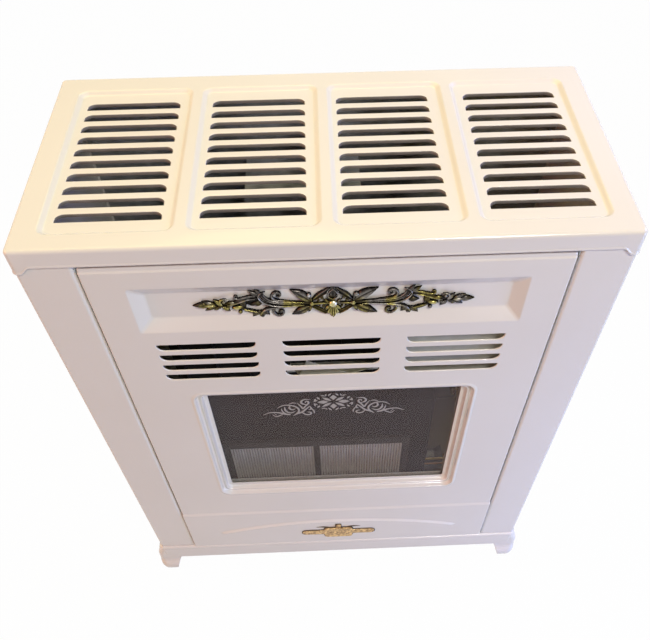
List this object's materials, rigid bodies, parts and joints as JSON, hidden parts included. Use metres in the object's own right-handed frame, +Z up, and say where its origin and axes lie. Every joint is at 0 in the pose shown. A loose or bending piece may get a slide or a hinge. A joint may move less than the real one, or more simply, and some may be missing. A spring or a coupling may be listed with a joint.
{
  "type": "gas heater",
  "caption": "Free-standing flued gas room heater in white enamel with slotted top, hinged front panel, glazed window, cast ornament and side controls.",
  "frame": {"origin": "middle of the footprint, toes of the feet to the end of the flue spigot, on the floor", "axes": "+Z up, +Y from the front to the back, +X to the right as seen from the front"},
  "size_m": [0.627, 0.356, 0.712],
  "materials": {
    "enamel": "gloss vitreous enamel",
    "galvanised": "galvanised sheet",
    "blacked_steel": "matt heat-resistant black",
    "pale_plate": "matt pale coating",
    "rubber": "matt",
    "die_cast": "cast",
    "brass": "machined",
    "copper": "drawn, copper coloured",
    "ceramic": "glazed, stands in for ceramic",
    "black_plastic": "moulded",
    "button_plastic": "moulded",
    "smoked_glass": "smoked, pale printed ornament",
    "rod_glass": "clear rods",
    "fibre_seal": "woven glass fibre",
    "antique_brass": "antiqued casting",
    "gilt": "gilt casting"
  },
  "bodies": {
    "cabinet": {"base_plinth": "enamel", "foot_front_left": "enamel", "foot_front_right": "enamel", "foot_rear_left": "enamel", "foot_rear_right": "enamel", "side_panel_left": "enamel", "side_panel_right": "enamel", "back_panel": "galvanised", "top_cover": "enamel", "control_pan": "enamel", "pivot_studs": "galvanised", "door_buffers": "rubber", "firebox": "blacked_steel", "firebox_stands": "galvanised", "heat_exchanger": "blacked_steel", "draught_hood": "galvanised", "flue_spigot": "galvanised", "fire_window_frame": "galvanised", "glass_rods": "rod_glass", "flame_shield": "pale_plate", "burner_tube": "galvanised", "burner_saddle": "galvanised", "injector_bracket": "galvanised", "injector": "brass", "pilot_burner": "brass", "thermocouple": "copper", "spark_electrode": "ceramic", "gas_valve": "die_cast", "gas_inlet": "brass", "gas_feed_pipe": "brass", "burner_pipe": "brass", "pilot_pipe": "brass", "piezo_igniter": "black_plastic", "air_deflector": "galvanised", "cabinet_screws": "galvanised"},
    "front_panel": {"front_panel": "enamel", "window_glass": "smoked_glass", "glass_seal": "fibre_seal", "glass_clips": "galvanised", "scroll_ornament": "antique_brass", "badge": "gilt"},
    "valve_spindle": {"valve_spindle": "galvanised"},
    "control_knob": {"control_knob": "black_plastic"},
    "igniter_button": {"igniter_button": "button_plastic"}
  },
  "joints": [
    {"name": "front_panel_tilt", "type": "hinge", "parent": "cabinet", "child": "front_panel", "pos_m": [0, -0.158, 0.684], "axis": [-1, 0, 0], "range_deg": [0, 25]},
    {"name": "knob_push", "type": "slide", "parent": "cabinet", "child": "valve_spindle", "axis": [-1, 0, 0], "range_m": [0, 0.0025], "stiffness_N_per_m": 900},
    {"name": "knob_turn", "type": "hinge", "parent": "valve_spindle", "child": "control_knob", "pos_m": [0.2788, -0.057, 0.2], "axis": [-1, 0, 0], "range_deg": [0, 270]},
    {"name": "igniter_press", "type": "slide", "parent": "cabinet", "child": "igniter_button", "axis": [-1, 0, 0], "range_m": [0, 0.005], "stiffness_N_per_m": 700}
  ]
}
